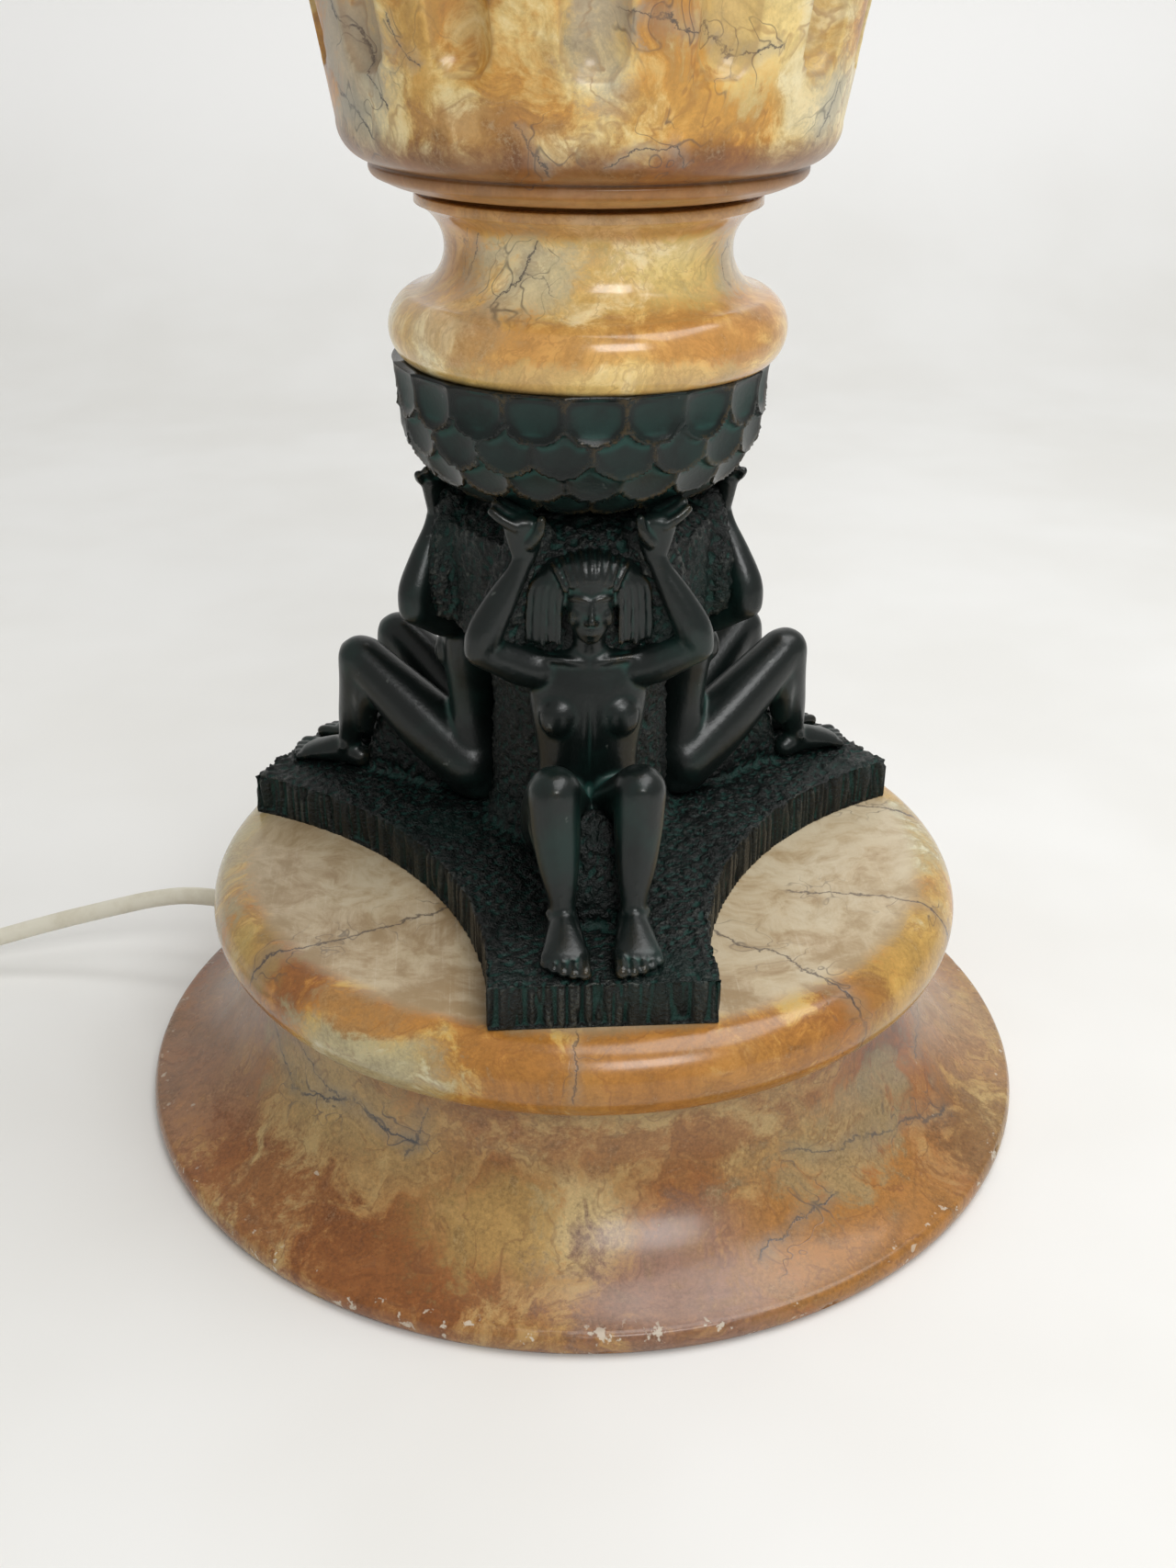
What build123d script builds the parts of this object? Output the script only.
from build123d import *
import os
from math import cos, hypot, pi, radians, sin, sqrt, tan

os.makedirs("parts", exist_ok=True)

# Onyx table lamp: a turned stone foot, disc, knop and fluted urn round a bronze group of three seated
# figures that carry a hammered bowl, all threaded on one hollow rod with a lampholder at its top.
# Millimetres, +Z up, origin on the floor under the rod, one arm of the bronze plinth along -Y.

# Clearances
rod_gap = 0.3
run_gap = 0.3
plunger_gap = 0.08
thread_gap = 0.1
groove_gap = 0.2

# Hollow rod that holds the stack, its nut, washer and locknut
rod_r = 5.0
rod_bore_r = 3.5
rod_below = 12.0
nut_flats = 17.0
nut_t = 6.0
washer_r = 20.0
washer_t = 2.5
locknut_t = 4.0

# Stone foot with a cavetto flare, hollow under, and the baize pad sunk in its underside
foot_r = 125.0
foot_edge = 5.8
foot_h = 47.8
neck_r = 92.5
neck_band = 6.4
flare_sag = 7.5
hollow_r = 66.0
hollow_roof = 11.0
pad_r = 118.0
pad_t = 2.0
pad_proud = 0.6

# Stone disc with a half-round edge
disc_r = 103.3
disc_t = 21.6

# Bronze plinth with three arms and the rock core that rises from it
arm_count = 3
arm_reach = 91.0
arm_half = 27.4
arm_waist = 49.0
plinth_t = 12.0
core_low_r = 23.0
core_waist_r = 21.0
core_top_r = 33.5
core_waist_share = 0.38
core_flare_share = 0.53
core_shoulder_share = 0.62
core_lip_h = 8.0
figure_h = 91.5
group_shift = -1.5

# Hammered bowl
bowl_r = 46.3
bowl_h = 32.5
bowl_floor_r = 22.0
bowl_wall = 5.0
bowl_rim_h = 9.0
bowl_belly = (6.2, -4.6)
dimple_count = 24
dimple_rows = 6
dimple_step = 6.4
dimple_first = 5.0
dimple_half = 6.2
dimple_cut = 1.6

# Stone knop
knop_bottom_r = 44.5
knop_bulge_r = 48.3
knop_shoulder_r = 43.8
knop_neck_r = 34.4
knop_top_r = 41.1
knop_shoulder_h = 15.3
knop_h = 38.0
knop_lip = 2.2

# Stone urn
urn_foot_r = 41.0
urn_ring_r = 51.2
urn_ring_h = 7.0
urn_groove = 1.2
urn_base_r = 58.0
urn_base_h = 16.2
urn_wide_r = 72.5
urn_wall_h = 98.0
urn_shoulder_h = 120.0
urn_h = 129.0
urn_mouth_r = 31.0
urn_wall_t = 12.0
urn_floor_t = 20.0
urn_hole_r = 20.0
flute_count = 14
flute_turn = -93.0
flute_r = 11.0
flute_cut = 2.6
flute_low = 34.0
flute_high = 86.0

# Stone cap on the urn, and the brass disc on it
cap_edge = 6.0
cap_waist_r = 17.0
cap_top_r = 21.0
cap_h = 26.0
vase_disc_r = 19.0
vase_disc_t = 3.0

# Bayonet lampholder: brass cap, switch housing, barrel, contact block, shade ring
holder_r = 19.0
holder_wall = 1.4
holder_collar_r = 8.5
holder_collar_h = 7.0
holder_cap_h = 24.0
housing_h = 26.0
housing_wall = 4.0
bar_height = 9.0
barrel_bore_r = 11.3
barrel_bore_l = 15.0
barrel_r = 14.0
barrel_h = 32.0
barrel_flange_t = 2.0
slot_w = 3.0
slot_drop = 9.0
slot_turn = 20.0
shade_ring_r = 21.0
shade_ring_t = 5.0
shade_ring_lift = 6.0
ring_lug_count = 24
block_r = 10.8
block_h = 15.0
block_foot = 4.0
contact_off = 4.6
plunger_r = 2.3
plunger_reach = 6.0
plunger_travel = 3.0
plunger_head_t = 1.5
plunger_head_r = 3.0
plunger_lip = 2.0
spring_wire_r = 0.25
spring_turns = 6
spring_shut = 6.0
spring_h = plunger_travel + spring_shut
bar_r = 3.0
bar_reach = 29.3
bar_gap = 0.1
knob_r = 4.6
knob_l = 7.0
bar_travel = 6.0

# Flex: from the bush in the foot, along the floor to a tied coil and a plug
cord_d = 5.4
cord_exit_azimuth = 159.0
cord_exit_z = 29.0
cord_hole_gap = 0.4
bush_wall = 1.3
bush_flange_r = 7.0
bush_flange_t = 2.0
bush_nose_l = 22.0
bush_nose_wall = 0.9
lead_run = 12.0
lead_points = (
    (-131.5, 48.4, 26.4),
    (-147.0, 50.4, 21.8),
    (-165.0, 51.2, 17.0),
    (-184.0, 50.4, 12.0),
    (-204.0, 48.4, 7.0),
)
lead_land = (-226.0, 46.2)
lead_end = (-247.0, 45.2)
coil_outer_r = 40.2
coil_pitch = 6.0
coil_turns_in = 4
coil_lift = 0.7
tie_t = 0.5
tie_w = 5.0
tie_gap = 0.15
tail_run = 13.0
tail_points = ((-289.0, -24.0, 11.0), (-284.5, -38.0, 12.0), (-280.0, -51.0, 12.0))
core_r = 1.2
flex_strip = 4.0

# Plug with three flat pins, lying on its back
plug_w = 50.0
plug_l = 48.0
plug_cord_w = 30.0
plug_cover_t = 12.0
plug_base_t = 9.0
plug_corner = 7.0
plug_taper = 13.0
plug_edge = 3.0
earth_pin = (4.0, 8.0, 22.7)
power_pin = (6.35, 4.0, 17.7)
pin_pitch = 22.2
pin_root = 6.0
plug_screw_r = 3.0
plug_screw_l = 8.0

# Heights of the stack
foot_z = pad_proud
foot_top = foot_z + foot_h
disc_top = foot_top + disc_t
plinth_top = disc_top + plinth_t
bowl_z = plinth_top + figure_h
bowl_top = bowl_z + bowl_h
knop_top = bowl_top + knop_h
urn_top = knop_top + urn_h
cap_top = urn_top + cap_h
vase_disc_top = cap_top + vase_disc_t
locknut_top = vase_disc_top + locknut_t
holder_z = locknut_top
housing_z = holder_z + holder_cap_h
barrel_z = housing_z + housing_h
block_z = housing_z + housing_h - block_foot
hollow_top = foot_top - hollow_roof
rod_bottom = hollow_top - washer_t - nut_t - rod_below
rod_top = holder_z + holder_collar_h
rod_hole_r = rod_r + rod_gap


def save(node, shape):
    export_step(shape, f"parts/{node}.step")
    print(f"{node}: {shape.volume:.0f} mm3")
    return shape


def turned(edges):
    """Solid of revolution about Z from edges that run r, z from the axis side round to it again."""
    return revolve(Plane.XZ * make_face(edges), Axis.Z, 360)


def up(x, y, z):
    return Pos(x, y, z)


def cylinder(radius, low, high, x=0.0, y=0.0):
    return up(x, y, low) * Cylinder(radius, high - low, align=(Align.CENTER, Align.CENTER, Align.MIN))


def rod_hole(low, high):
    return cylinder(rod_hole_r, low, high)


def around(count, shape, start=0.0):
    return [Rot(0, 0, start + 360.0 * k / count) * shape for k in range(count)]


# Foot, pad and disc
cord_hole_r = cord_d / 2 + bush_wall + cord_hole_gap
exit_plane = Plane(
    origin=(0, 0, cord_exit_z),
    x_dir=(sin(radians(cord_exit_azimuth)), -cos(radians(cord_exit_azimuth)), 0),
    z_dir=(cos(radians(cord_exit_azimuth)), sin(radians(cord_exit_azimuth)), 0),
)
bush_seat = neck_r - bush_flange_t


def make_foot():
    flare_low = (foot_r - 1.2, foot_z + foot_edge)
    flare_high = (neck_r, foot_top - neck_band)
    run, rise = flare_low[0] - flare_high[0], flare_high[1] - flare_low[1]
    length = hypot(run, rise)
    middle = (
        (flare_low[0] + flare_high[0]) / 2 - flare_sag * rise / length,
        (flare_low[1] + flare_high[1]) / 2 - flare_sag * run / length,
    )
    edges = [
        Line((0, foot_z), (foot_r - 1.0, foot_z)),
        ThreePointArc((foot_r - 1.0, foot_z), (foot_r, foot_z + foot_edge / 2), flare_low),
        ThreePointArc(flare_low, middle, flare_high),
        Line(flare_high, (neck_r, foot_top)),
        Line((neck_r, foot_top), (0, foot_top)),
        Line((0, foot_top), (0, foot_z)),
    ]
    hollow = cylinder(hollow_r, foot_z - 1, hollow_top)
    pad_seat = cylinder(pad_r + run_gap, foot_z - 1, pad_t)
    hole = exit_plane * Pos(0, 0, hollow_r - 6) * Cylinder(
        cord_hole_r, foot_r, align=(Align.CENTER, Align.CENTER, Align.MIN)
    )
    spot = exit_plane * Pos(0, 0, bush_seat) * Cylinder(
        bush_flange_r + run_gap, foot_r, align=(Align.CENTER, Align.CENTER, Align.MIN)
    )
    return turned(edges) - [hollow, pad_seat, hole, spot, rod_hole(0, foot_top + 1)]


def make_disc():
    round_r = disc_t / 2
    flat_r = disc_r - round_r
    edges = [
        Line((0, foot_top), (flat_r, foot_top)),
        ThreePointArc((flat_r, foot_top), (disc_r, foot_top + round_r), (flat_r, disc_top)),
        Line((flat_r, disc_top), (0, disc_top)),
        Line((0, disc_top), (0, foot_top)),
    ]
    return turned(edges) - rod_hole(foot_top - 1, disc_top + 1)


save("stone_foot", make_foot())
save("baize_pad", cylinder(pad_r, 0, pad_t))
save("stone_disc", make_disc())


# Bowl: a smooth blank, then overlapping dimples in staggered rows
def bowl_outline():
    corner = (bowl_r - 0.6, bowl_top - bowl_rim_h)
    floor = (bowl_floor_r, bowl_z)
    middle = ((corner[0] + floor[0]) / 2 + bowl_belly[0], (corner[1] + floor[1]) / 2 + bowl_belly[1])
    return corner, middle, floor


def make_bowl_blank():
    corner, middle, floor = bowl_outline()
    edges = [
        Line((0, bowl_z), floor),
        ThreePointArc(floor, middle, corner),
        Line(corner, (bowl_r, bowl_top)),
        Line((bowl_r, bowl_top), (0, bowl_top)),
        Line((0, bowl_top), (0, bowl_z)),
    ]
    return turned(edges)


def dimple_place(depth):
    """Point of the blank's side at a depth under the rim, with its outward normal, in r and z."""
    corner, middle, floor = bowl_outline()
    side = Wire([ThreePointArc(floor, middle, corner), Line(corner, (bowl_r, bowl_top))])
    at, along = side @ (1 - depth / side.length), side % (1 - depth / side.length)
    return at.X, at.Y, along.Y, -along.X


def make_bowl(blank):
    ball = (dimple_half**2 + dimple_cut**2) / (2 * dimple_cut)
    out = ball - dimple_cut
    cuts = []
    for row in range(dimple_rows):
        r, z, normal_r, normal_z = dimple_place(dimple_first + dimple_step * row)
        sphere = up(r + normal_r * out, 0, z + normal_z * out) * Sphere(ball)
        cuts += around(dimple_count, sphere, 180.0 / dimple_count * (row % 2))
    inside_r = bowl_r - bowl_wall
    edges = [
        Line((0, bowl_z + bowl_wall), (bowl_floor_r, bowl_z + bowl_wall)),
        ThreePointArc(
            (bowl_floor_r, bowl_z + bowl_wall),
            (inside_r - 3.6, bowl_z + bowl_wall + 10.0),
            (inside_r, bowl_top - 8.0),
        ),
        Line((inside_r, bowl_top - 8.0), (inside_r, bowl_top + 1)),
        Line((inside_r, bowl_top + 1), (0, bowl_top + 1)),
        Line((0, bowl_top + 1), (0, bowl_z + bowl_wall)),
    ]
    return blank - cuts - turned(edges)


def in_group(shape):
    """Place of the bronze group, which sits a little off the rod's axis."""
    return up(group_shift, 0, 0) * shape - rod_hole(disc_top - 1, bowl_top)


bowl_blank = make_bowl_blank()
save("hammered_bowl", in_group(make_bowl(bowl_blank)))


# Plinth and rock core
def make_plinth():
    arcs = []
    for k in range(arm_count):
        turn = Rot(0, 0, 360.0 * k / arm_count)
        arcs.append(turn * Line((-arm_half, -arm_reach), (arm_half, -arm_reach)))
        middle = Vector(arm_waist, 0).rotate(Axis.Z, -30)
        far = Vector(-arm_half, -arm_reach).rotate(Axis.Z, 360.0 / arm_count)
        arcs.append(turn * ThreePointArc((arm_half, -arm_reach), middle, far))
    plate = up(0, 0, disc_top) * extrude(make_face(arcs), plinth_t)
    waist = plinth_top + core_waist_share * figure_h
    shoulder = plinth_top + core_shoulder_share * figure_h
    edges = [
        Line((0, plinth_top - 1), (core_low_r, plinth_top - 1)),
        Line((core_low_r, plinth_top - 1), (core_waist_r, waist)),
        ThreePointArc(
            (core_waist_r, waist),
            (core_waist_r + 3.4, plinth_top + core_flare_share * figure_h),
            (core_top_r, shoulder),
        ),
        Line((core_top_r, shoulder), (core_top_r, bowl_z - core_lip_h)),
        Line((core_top_r, bowl_z - core_lip_h), (bowl_floor_r, bowl_z)),
        Line((bowl_floor_r, bowl_z), (0, bowl_z)),
        Line((0, bowl_z), (0, plinth_top - 1)),
    ]
    return plate + turned(edges)


plinth_blank = make_plinth()
save("bronze_plinth", in_group(plinth_blank))


# Seated figure, facing -Y, heights from the plinth's top for a figure of this height
carved_h = 91.5
lift = figure_h / carved_h


def limb(start, end, radii):
    """Round limb along a bone, with its radii at even steps from one end to the other."""
    bone = Vector(*end) - Vector(*start)
    first, last = radii[0], radii[-1]
    low, high = -first, bone.length + last
    rise = [(r, bone.length * k / (len(radii) - 1)) for k, r in enumerate(radii)]
    diagonal = 1 / sqrt(2)
    edges = [
        ThreePointArc((0, low), (first * diagonal, -first * diagonal), rise[0]),
        Spline(rise, tangents=((0, 1), (0, 1))),
        ThreePointArc(rise[-1], (last * diagonal, bone.length + last * diagonal), (0, high)),
        Line((0, high), (0, low)),
    ]
    return Plane(origin=start, z_dir=bone) * turned(edges)


def stack(sections):
    """Loft through level ellipses, each given as y, z, half width and half depth."""
    return loft([up(0, y, z * lift) * Ellipse(half_x, half_y) for y, z, half_x, half_y in sections])


def make_foot_of_figure(side):
    """Bare foot from heel to toes: upright ellipses at y, with height, half width and half height."""
    sections = (
        (-66.5, 3.4, 3.0, 3.2),
        (-72.0, 4.2, 3.7, 4.4),
        (-80.0, 2.8, 4.7, 3.2),
        (-88.5, 1.6, 4.9, 1.9),
    )
    upright = [Plane((side * 8.4, y, z), x_dir=(1, 0, 0), z_dir=(0, 1, 0)) for y, z, _, _ in sections]
    return loft([plane * Ellipse(w, h) for plane, (_, _, w, h) in zip(upright, sections)])


def make_figure():
    torso = stack(
        (
            (-29.0, 0.0, 14.5, 11.0),
            (-29.5, 10.0, 15.2, 11.5),
            (-29.5, 26.0, 10.8, 7.6),
            (-30.5, 42.0, 12.6, 8.6),
            (-30.5, 55.0, 12.0, 6.0),
            (-31.0, 60.5, 4.6, 4.4),
            (-33.0, 67.0, 4.2, 4.2),
        )
    )
    hair = stack(
        (
            (-29.0, 64.5, 13.4, 6.2),
            (-30.0, 72.0, 12.6, 7.6),
            (-31.0, 80.0, 10.6, 8.4),
            (-31.5, 86.0, 6.8, 6.0),
            (-31.5, 88.0, 2.5, 2.2),
        )
    )
    face = limb((0, -35.2, 68.0 * lift), (0, -34.8, 77.0 * lift), (5.2, 6.6, 6.6))
    pieces = [torso, hair, face]
    for side in (-1, 1):
        breast = up(side * 5.8, -36.6, 42.5 * lift) * Sphere(4.6)
        shoulder = (side * 13.0, -31.5, 54.5 * lift)
        elbow = (side * 26.6, -34.5, 60.0 * lift)
        wrist = (side * 15.5, -33.0, 82.5 * lift)
        palm = (side * 15.0, -33.0, 93.0 * lift)
        hip = (side * 8.0, -32.0, 9.5 * lift)
        knee = (side * 10.0, -63.5, 36.0 * lift)
        ankle = (side * 8.3, -70.0, 7.0)
        pieces += [
            breast,
            limb(shoulder, elbow, (5.0, 4.7, 4.1)),
            limb(elbow, wrist, (4.1, 4.0, 2.9)),
            limb(wrist, palm, (2.8, 3.6, 3.2)),
            limb(hip, knee, (9.2, 8.2, 6.4)),
            limb(knee, ankle, (6.0, 5.6, 3.4)),
            make_foot_of_figure(side),
        ]
    body = pieces[0] + pieces[1:]
    ground = up(0, 0, -50) * Box(300, 300, 100)
    return up(0, 0, plinth_top) * (body - ground)


figure = make_figure() - [plinth_blank, bowl_blank]
for name, turn in (("figure_front", 0.0), ("figure_right", 120.0), ("figure_left", 240.0)):
    save(name, up(group_shift, 0, 0) * Rot(0, 0, turn) * figure)


# Knop
def make_knop():
    shoulder = (knop_shoulder_r, bowl_top + knop_shoulder_h)
    lip = (knop_top_r - 0.6, knop_top - knop_lip)
    edges = [
        Line((0, bowl_top), (knop_bottom_r, bowl_top)),
        ThreePointArc((knop_bottom_r, bowl_top), (knop_bulge_r, bowl_top + knop_shoulder_h / 2), shoulder),
        ThreePointArc(shoulder, (knop_neck_r, (shoulder[1] + lip[1]) / 2 + 1.6), lip),
        Line(lip, (knop_top_r, knop_top - knop_lip + 0.6)),
        Line((knop_top_r, knop_top - knop_lip + 0.6), (knop_top_r, knop_top)),
        Line((knop_top_r, knop_top), (0, knop_top)),
        Line((0, knop_top), (0, bowl_top)),
    ]
    return turned(edges) - rod_hole(bowl_top - 1, knop_top + 1)


save("stone_knop", make_knop())


# Urn, turned hollow under its mouth, with flutes cut down its wall
def make_urn_hollow():
    floor_z = knop_top + urn_floor_t
    lean = (urn_wide_r - urn_base_r) / (urn_wall_h - urn_base_h)
    low = (urn_base_r - urn_wall_t + lean * (urn_floor_t - urn_base_h), floor_z)
    wide = (urn_wide_r - urn_wall_t, knop_top + urn_wall_h)
    neck = (urn_hole_r, urn_top - urn_wall_t)
    edges = [
        Line((0, floor_z), low),
        Line(low, wide),
        ThreePointArc(wide, (urn_wide_r - urn_wall_t - 10.0, knop_top + urn_shoulder_h - 8.0), neck),
        Line(neck, (urn_hole_r, urn_top + 1)),
        Line((urn_hole_r, urn_top + 1), (0, urn_top + 1)),
        Line((0, urn_top + 1), (0, floor_z)),
    ]
    return turned(edges)


def make_urn():
    ring_low = (urn_ring_r - 2.0, knop_top + urn_ring_h * 0.5)
    ring_top = (urn_ring_r, knop_top + urn_ring_h - 0.6)
    body_low = (urn_ring_r + 0.6, knop_top + urn_ring_h + 0.4)
    base = (urn_base_r, knop_top + urn_base_h)
    wide = (urn_wide_r, knop_top + urn_wall_h)
    shoulder = (urn_wide_r - 9.0, knop_top + urn_shoulder_h)
    mouth = (urn_mouth_r, urn_top)
    edges = [
        Line((0, knop_top), (urn_foot_r, knop_top)),
        ThreePointArc((urn_foot_r, knop_top), (urn_foot_r + 5.0, knop_top + urn_ring_h * 0.2), ring_low),
        ThreePointArc(ring_low, (urn_ring_r, knop_top + urn_ring_h * 0.75), ring_top),
        Line(ring_top, (urn_ring_r - urn_groove, knop_top + urn_ring_h - 0.1)),
        Line((urn_ring_r - urn_groove, knop_top + urn_ring_h - 0.1), body_low),
        ThreePointArc(body_low, (urn_base_r - 1.4, knop_top + urn_ring_h + 4.0), base),
        Line(base, wide),
        ThreePointArc(wide, (urn_wide_r - 0.4, knop_top + (urn_wall_h + urn_shoulder_h) / 2 + 1.0), shoulder),
        ThreePointArc(shoulder, (urn_mouth_r + 16.0, urn_top - 4.2), mouth),
        Line(mouth, (0, urn_top)),
        Line((0, urn_top), (0, knop_top)),
    ]
    lean = (urn_wide_r - urn_base_r) / (urn_wall_h - urn_base_h)
    out = flute_r - flute_cut
    low = Vector(urn_base_r + lean * (flute_low - urn_base_h) + out, 0, knop_top + flute_low)
    high = Vector(urn_base_r + lean * (flute_high - urn_base_h) + out, 0, knop_top + flute_high)
    groove = Plane(origin=low, z_dir=high - low) * Cylinder(
        flute_r, (high - low).length, align=(Align.CENTER, Align.CENTER, Align.MIN)
    )
    flute = groove + [Pos(low) * Sphere(flute_r), Pos(high) * Sphere(flute_r)]
    flutes = around(flute_count, flute, flute_turn)
    return turned(edges) - flutes - [make_urn_hollow(), rod_hole(knop_top - 1, urn_top)]


def make_cap():
    edges = [
        Line((0, urn_top), (urn_mouth_r, urn_top)),
        ThreePointArc(
            (urn_mouth_r, urn_top),
            (urn_mouth_r + 1.6, urn_top + cap_edge / 2),
            (urn_mouth_r, urn_top + cap_edge),
        ),
        ThreePointArc(
            (urn_mouth_r, urn_top + cap_edge),
            (cap_waist_r + 2.0, urn_top + 0.52 * cap_h),
            (cap_waist_r, cap_top - 6.0),
        ),
        Line((cap_waist_r, cap_top - 6.0), (cap_top_r - 1.0, cap_top - 5.0)),
        ThreePointArc(
            (cap_top_r - 1.0, cap_top - 5.0),
            (cap_top_r, cap_top - 2.5),
            (cap_top_r - 1.0, cap_top),
        ),
        Line((cap_top_r - 1.0, cap_top), (0, cap_top)),
        Line((0, cap_top), (0, urn_top)),
    ]
    return turned(edges) - rod_hole(urn_top - 1, cap_top + 1)


save("stone_urn", make_urn())
save("stone_cap", make_cap())


# Rod and its hardware
def make_nut(low, high):
    hexagon = RegularPolygon(nut_flats / 2, 6, major_radius=False)
    return up(0, 0, low) * extrude(hexagon, high - low) - cylinder(rod_r + thread_gap, low - 1, high + 1)


def make_vase_disc():
    seat_r = nut_flats / 2 + 3.0
    edges = [
        Line((0, cap_top), (vase_disc_r, cap_top)),
        ThreePointArc((vase_disc_r, cap_top), (vase_disc_r - 4.0, cap_top + 2.0), (seat_r, vase_disc_top)),
        Line((seat_r, vase_disc_top), (0, vase_disc_top)),
        Line((0, vase_disc_top), (0, cap_top)),
    ]
    return turned(edges) - rod_hole(cap_top - 1, vase_disc_top + 1)


rod = cylinder(rod_r, rod_bottom, rod_top) - cylinder(rod_bore_r, rod_bottom - 1, rod_top + 1)
washer_low = hollow_top - washer_t
washer = cylinder(washer_r, washer_low, hollow_top) - rod_hole(washer_low - 1, hollow_top + 1)
save("centre_rod", rod)
save("rod_washer", washer)
save("rod_nut", make_nut(washer_low - nut_t, washer_low))
save("vase_disc", make_vase_disc())
save("rod_locknut", make_nut(vase_disc_top, locknut_top))


# Lampholder
def make_holder_cap():
    inner_r = holder_r - holder_wall
    edges = [
        Line((0, holder_z), (holder_collar_r, holder_z)),
        Line((holder_collar_r, holder_z), (holder_collar_r, holder_z + holder_collar_h)),
        ThreePointArc(
            (holder_collar_r, holder_z + holder_collar_h),
            (holder_r - 3.4, holder_z + holder_collar_h + 4.6),
            (holder_r, housing_z),
        ),
        Line((holder_r, housing_z), (inner_r, housing_z)),
        ThreePointArc(
            (inner_r, housing_z),
            (inner_r - 3.4, holder_z + holder_collar_h + 6.2),
            (holder_collar_r - holder_wall, holder_z + holder_collar_h + holder_wall),
        ),
        Line(
            (holder_collar_r - holder_wall, holder_z + holder_collar_h + holder_wall),
            (0, holder_z + holder_collar_h + holder_wall),
        ),
        Line((0, holder_z + holder_collar_h + holder_wall), (0, holder_z)),
    ]
    return turned(edges) - cylinder(rod_r + thread_gap, holder_z - 1, holder_z + holder_cap_h)


bar_z = housing_z + bar_height


def bar_hole(radius, length):
    return up(0, 0, bar_z) * Rot(0, 90, 0) * Cylinder(radius, length)


def make_housing():
    inside = cylinder(holder_r - housing_wall, housing_z - 1, barrel_z + 1)
    return cylinder(holder_r, housing_z, barrel_z) - inside - bar_hole(bar_r + bar_gap, 3 * holder_r)


def make_bar():
    knob = Cylinder(knob_r, knob_l, align=(Align.CENTER, Align.CENTER, Align.MAX))
    knob = fillet(knob.edges().sort_by(Axis.Z)[-1:], 1.6)
    rest = bar_travel / 2
    shaft = up(rest, 0, bar_z) * Rot(0, 90, 0) * Cylinder(bar_r, 2 * bar_reach - knob_l)
    right = up(rest + bar_reach, 0, bar_z) * Rot(0, 90, 0) * knob
    left = up(rest - bar_reach, 0, bar_z) * Rot(0, -90, 0) * knob
    return shaft + [right, left]


def make_barrel():
    top = barrel_z + barrel_h
    tube = cylinder(barrel_r, barrel_z, top) + cylinder(holder_r, barrel_z, barrel_z + barrel_flange_t)
    tube -= cylinder(barrel_bore_r, top - barrel_bore_l, top + 1)
    tube -= cylinder(block_r + groove_gap, barrel_z - 1, top)
    drop = up(0, barrel_r, top - slot_drop / 2) * Box(slot_w, 2 * (barrel_r - barrel_bore_r) + 4, slot_drop)
    ends = [Rot(0, 0, slot_turn * k / 3) * drop for k in range(1, 4)]
    keep = cylinder(barrel_r + 3, top - slot_drop, top - slot_drop + slot_w)
    turn = (ends[0] + ends[1:]) & keep
    return tube - around(2, drop) - around(2, turn)


def make_shade_ring():
    low = barrel_z + barrel_flange_t + shade_ring_lift
    high = low + shade_ring_t
    ring = cylinder(shade_ring_r, low, high)
    bite = up(shade_ring_r + 0.6, 0, low - 1) * Cylinder(
        1.3, shade_ring_t + 2, align=(Align.CENTER, Align.CENTER, Align.MIN)
    )
    return ring - around(ring_lug_count, bite) - cylinder(barrel_r + thread_gap, low - 1, high + 1)


block_top = block_z + block_h
head_top = block_top - plunger_lip - run_gap
head_low = head_top - plunger_head_t
well_low = head_low - spring_h


def make_block():
    shoulder = cylinder(holder_r - housing_wall - groove_gap, block_z, barrel_z)
    block = cylinder(block_r, block_z, block_top) + shoulder
    wells = []
    for side in (-1, 1):
        x = side * contact_off
        wells.append(cylinder(plunger_r + plunger_gap, block_top - plunger_lip - 1, block_top + 1, x))
        wells.append(cylinder(plunger_head_r + plunger_gap, well_low, block_top - plunger_lip, x))
        wells.append(cylinder(core_r + groove_gap, block_z - 1, well_low + 1, x))
    return block - wells


def make_plunger(side):
    x = side * contact_off
    pin = cylinder(plunger_r, head_low, block_top + plunger_reach, x)
    pin = fillet(pin.edges().sort_by(Axis.Z)[-1:], 0.8)
    return pin + cylinder(plunger_head_r, head_low, head_top, x)


def make_spring(side):
    coil_r = plunger_head_r - spring_wire_r - run_gap
    rise = spring_h - 2 * spring_wire_r
    path = Helix(rise / spring_turns, rise, coil_r)
    wire = Plane(path @ 0, z_dir=path % 0) * Circle(spring_wire_r)
    return up(side * contact_off, 0, well_low + spring_wire_r) * sweep(wire, path, is_frenet=True)


save("holder_cap", make_holder_cap())
save("switch_housing", make_housing())
save("switch_bar", make_bar())
save("holder_barrel", make_barrel())
save("shade_ring", make_shade_ring())
save("contact_block", make_block())
for name, side in (("left", -1), ("right", 1)):
    save(f"contact_{name}", make_plunger(side))
    save(f"contact_spring_{name}", make_spring(side))


# Flex: tubes on straight runs joined by tangent arcs
def corner_radii(points):
    radii = []
    for before, at, after in zip(points, points[1:], points[2:]):
        arrive, leave = Vector(*at) - Vector(*before), Vector(*after) - Vector(*at)
        turn = radians(arrive.get_angle(leave))
        radii.append(0.45 * min(arrive.length, leave.length) / tan(turn / 2))
    return radii


def tube(path, radius, name):
    solid = sweep(Plane(path @ 0, z_dir=path % 0) * Circle(radius), path)
    share = solid.volume / (pi * radius * radius * path.length)
    print(f"{name}: length {path.length:.1f} mm, volume over section times length {share:.4f}")
    return solid


def cord_tube(points, radius, name):
    radii = corner_radii(points)
    print(f"{name}: radii {[round(r, 1) for r in radii]}")
    return tube(FilletPolyline(*points, radius=radii), radius, name)


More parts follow.
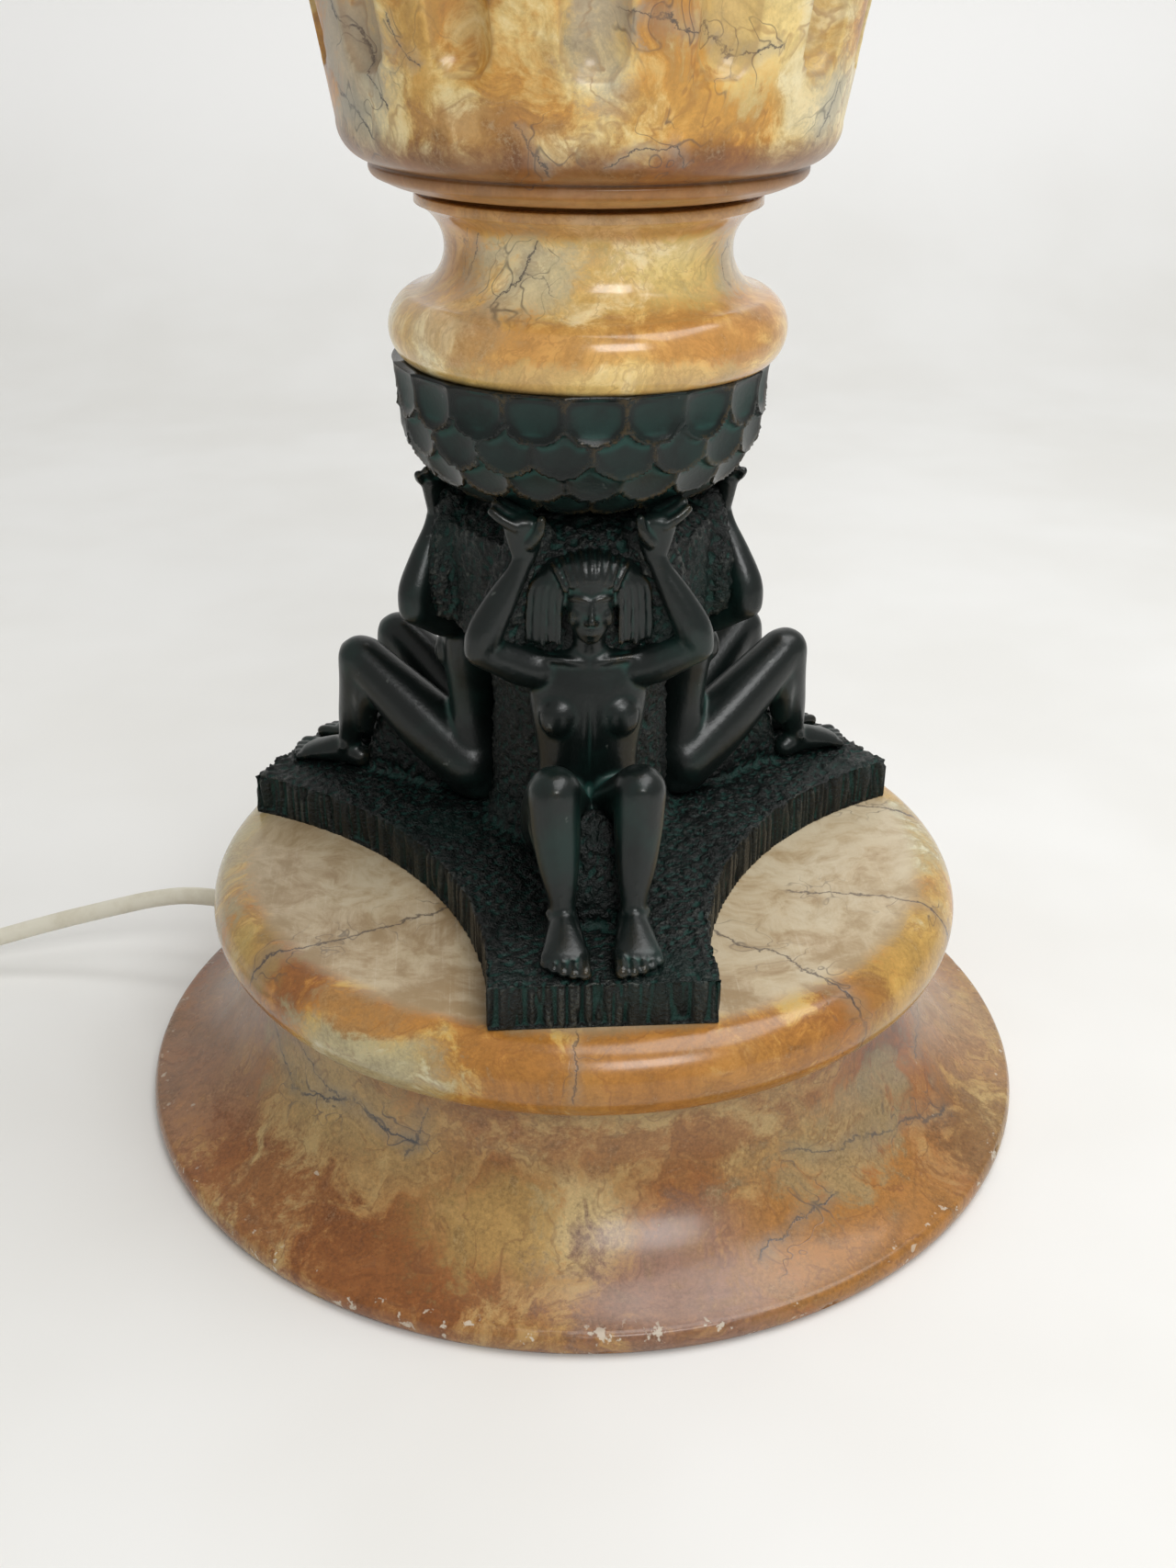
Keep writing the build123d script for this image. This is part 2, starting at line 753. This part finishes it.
def at_exit(distance, height=cord_exit_z):
    angle = radians(cord_exit_azimuth)
    return (distance * cos(angle), distance * sin(angle), height)


cord_r = cord_d / 2
bush_tip = bush_seat + bush_flange_t + bush_nose_l


def make_bush():
    edges = [
        Line((0, hollow_r), (cord_hole_r - cord_hole_gap, hollow_r)),
        Line((cord_hole_r - cord_hole_gap, hollow_r), (cord_hole_r - cord_hole_gap, bush_seat)),
        Line((cord_hole_r - cord_hole_gap, bush_seat), (bush_flange_r, bush_seat)),
        Line((bush_flange_r, bush_seat), (bush_flange_r, bush_seat + bush_flange_t)),
        Line((bush_flange_r, bush_seat + bush_flange_t), (cord_r + 2 * bush_wall, bush_seat + bush_flange_t)),
        Line((cord_r + 2 * bush_wall, bush_seat + bush_flange_t), (cord_r + bush_nose_wall, bush_tip)),
        Line((cord_r + bush_nose_wall, bush_tip), (0, bush_tip)),
        Line((0, bush_tip), (0, hollow_r)),
    ]
    hole = Cylinder(cord_r + groove_gap, 3 * foot_r)
    return exit_plane * (turned(edges) - hole)


save("cord_bush", make_bush())

coil_z = cord_r + coil_lift
lead = [
    at_exit(bush_tip),
    at_exit(bush_tip + lead_run),
    *lead_points,
    (*lead_land, coil_z),
    (*lead_end, coil_z),
]
save("cord_lead", cord_tube(lead, cord_r, "cord_lead"))

inner = [
    at_exit(bush_tip),
    at_exit(hollow_r - 14.0),
    at_exit(30.0, 14.0),
    at_exit(8.0, 7.2),
    (0, 0, rod_bottom - 4.0),
    (0, 0, rod_top + flex_strip),
]
inner_radii = [30.0, 40.0, 10.0, 8.0]
inner_path = FilletPolyline(*inner, radius=inner_radii)
save("inner_flex", tube(inner_path, cord_r, "inner_flex"))


# Coil: half turns spiral in on the floor, climb one layer, and spiral out on top
def biarc(start, start_way, end, end_way):
    """Two tangent arcs from one point and direction to another."""
    chord = end - start
    ways = start_way + end_way
    lean = 2 * (1 - start_way.dot(end_way))
    reach = (-chord.dot(ways) + sqrt(chord.dot(ways) ** 2 + lean * chord.dot(chord))) / lean
    joint = (start + end + (start_way - end_way) * reach) * 0.5
    joint_way = end - end_way * reach - start - start_way * reach
    return [TangentArc(start, joint, tangent=start_way), TangentArc(joint, end, tangent=joint_way)]


def half_turn(centre, radius, height, first):
    """Level half circle about a point of the local X axis, from its +X side where first is 1."""
    return ThreePointArc(
        (centre + first * radius, 0, height),
        (centre, first * radius, height),
        (centre - first * radius, 0, height),
    )


def make_coil_path():
    top_z = coil_pitch
    edges = []
    centre, first, radius = 0.0, 1, coil_outer_r
    start = Vector(radius, -cord_d, 0)
    edges.append(Line(start, (radius, 0, 0)))
    for _ in range(2 * coil_turns_in):
        edges.append(half_turn(centre, radius, 0.0, first))
        edge_x = centre - first * radius
        first = -first
        radius -= coil_pitch / 2
        centre = edge_x - first * radius
    radius = first * edge_x
    low = Vector(edge_x, 0, 0)
    middle = Vector(0, first * radius, top_z / 2)
    high = Vector(-edge_x, 0, top_z)
    slope = Vector(-first * pi * radius / 2, 0, top_z).normalized()
    edges += biarc(low, Vector(0, first, 0), middle, slope)
    edges += biarc(middle, slope, high, Vector(0, -first, 0))
    edge_x = high.X
    first = -first
    for _ in range(2 * coil_turns_in - 1):
        radius += coil_pitch / 2
        centre = edge_x - first * radius
        edges.append(half_turn(centre, radius, top_z, first))
        edge_x = centre - first * radius
        first = -first
    radius += coil_pitch / 2
    centre = edge_x - first * radius
    diagonal = radius / sqrt(2)
    edges.append(
        ThreePointArc(
            (edge_x, 0, top_z),
            (centre + first * diagonal, first * diagonal, top_z),
            (centre, first * radius, top_z),
        )
    )
    edges.append(Line((centre, first * radius, top_z), (centre - first * cord_d, first * radius, top_z)))
    return Wire(edges)


lead_way = (Vector(*lead_end) - Vector(*lead_land)).normalized()
coil_plane = Plane(
    origin=(lead_end[0] + lead_way.X * cord_d - lead_way.Y * coil_outer_r,
            lead_end[1] + lead_way.Y * cord_d + lead_way.X * coil_outer_r, coil_z),
    x_dir=(lead_way.Y, -lead_way.X, 0),
    z_dir=(0, 0, 1),
)
coil_path = coil_plane * make_coil_path()
save("cord_coil", tube(coil_path, cord_r, "cord_coil"))


def least_self_gap(path, step):
    count = int(path.length / step)
    points = [path @ (k / count) for k in range(count + 1)]
    apart = int(3 * cord_d / step)
    least = min(
        (points[i] - points[j]).length for i in range(len(points)) for j in range(i + apart, len(points))
    )
    return least - cord_d


print(f"cord_coil: least gap to itself {least_self_gap(coil_path, 2.5):.2f} mm")


# Tie round the bundle on the coil's near side
def make_tie():
    inner_side = -(coil_outer_r - coil_pitch / 2 * (2 * coil_turns_in - 1)) + coil_pitch
    outer_side = -coil_outer_r - coil_pitch / 2
    middle = (inner_side + outer_side) / 2
    width = abs(outer_side - inner_side) + cord_d + 2 * tie_gap
    height = coil_pitch + cord_d + 2 * tie_gap
    ring = RectangleRounded(width + 2 * tie_t, height + 2 * tie_t, cord_r + tie_t)
    ring -= RectangleRounded(width, height, cord_r)
    band = extrude(Plane.XZ * ring, tie_w / 2, both=True)
    return coil_plane * up(middle, 0, coil_pitch / 2) * band


save("cord_tie", make_tie())

# Tail from the coil to the plug
coil_end, coil_end_way = coil_path @ 1, coil_path % 1
tail_turn = coil_end + coil_end_way * tail_run
tail = [(p.X, p.Y, p.Z) for p in (coil_end, tail_turn)] + list(tail_points)
save("cord_tail", cord_tube(tail, cord_r, "cord_tail"))

# Plug: a cover under a base that holds three flat pins, with its cord face at the tail's end
plug_way = (Vector(*tail[-1]) - Vector(*tail[-2])).normalized()
plug_plane = Plane(origin=(tail[-1][0], tail[-1][1], 0), x_dir=(-plug_way.Y, plug_way.X, 0), z_dir=(0, 0, 1))
plug_top = plug_cover_t + plug_base_t
plug_middle = -plug_l / 2


def plug_outline():
    half, cord_half = plug_w / 2, plug_cord_w / 2
    corners = [(cord_half, 0), (half, -plug_taper), (half - 2.0, -plug_l)]
    outline = Polygon(*corners, *[(-x, y) for x, y in reversed(corners)], align=None)
    return fillet(outline.vertices(), plug_corner)


def make_pins():
    wide, thick, length = earth_pin
    pins = [up(0, plug_middle - pin_pitch / 2, plug_top - pin_root) * pin_solid(wide, thick, length)]
    for side in (-1, 1):
        place = up(side * pin_pitch / 2, plug_middle + pin_pitch / 2, plug_top - pin_root)
        pins.append(place * pin_solid(*power_pin))
    return pins


def pin_solid(wide, thick, length):
    bar = Box(wide, thick, length + pin_root, align=(Align.CENTER, Align.CENTER, Align.MIN))
    return chamfer(bar.faces().sort_by(Axis.Z)[-1].edges(), 0.8)


def make_plug_screw(gap=0.0):
    head = plug_screw_r + gap
    shank = cylinder(head / 2, plug_top - plug_screw_l - gap, plug_top - 1, 0, plug_middle)
    disc = cylinder(head, plug_top - 2.0 - gap, plug_top - 0.4 + 2 * gap, 0, plug_middle)
    return shank + disc


plug_pins = make_pins()
plug_cover = extrude(plug_outline(), plug_cover_t, dir=(0, 0, 1))
plug_cover = fillet(plug_cover.faces().sort_by(Axis.Z)[0].edges(), plug_edge)
plug_base = up(0, 0, plug_cover_t) * extrude(plug_outline(), plug_base_t, dir=(0, 0, 1))
plug_base = fillet(plug_base.faces().sort_by(Axis.Z)[-1].edges(), plug_edge / 2)
screw_slot = up(0, plug_middle, plug_top - 0.4) * Box(2 * plug_screw_r, 0.9, 1.2)
screw_well = cylinder(plug_screw_r + groove_gap, plug_top - 2.0, plug_top + 1, 0, plug_middle)
save("plug_cover", plug_plane * (plug_cover - make_plug_screw(groove_gap)))
save("plug_base", plug_plane * (plug_base - [*plug_pins, make_plug_screw(groove_gap), screw_well]))
save("plug_pins", Compound(children=[plug_plane * pin for pin in plug_pins]))
save("plug_screw", plug_plane * (make_plug_screw() - screw_slot))


# Two cores from the flex past the switch bar to the contacts
def make_core(side):
    points = [
        (0, side * (core_r + 0.1), rod_top + flex_strip),
        (0, side * (core_r + 0.1), rod_top + flex_strip + 4.0),
        (side * 2.0, side * 6.6, bar_z - 5.0),
        (side * 3.4, side * 6.8, bar_z + 4.0),
        (side * contact_off, 0, block_z - 1.0),
        (side * contact_off, 0, well_low),
    ]
    return cord_tube(points, core_r, "flex core")


save("flex_cores", Compound(children=[make_core(-1), make_core(1)]))
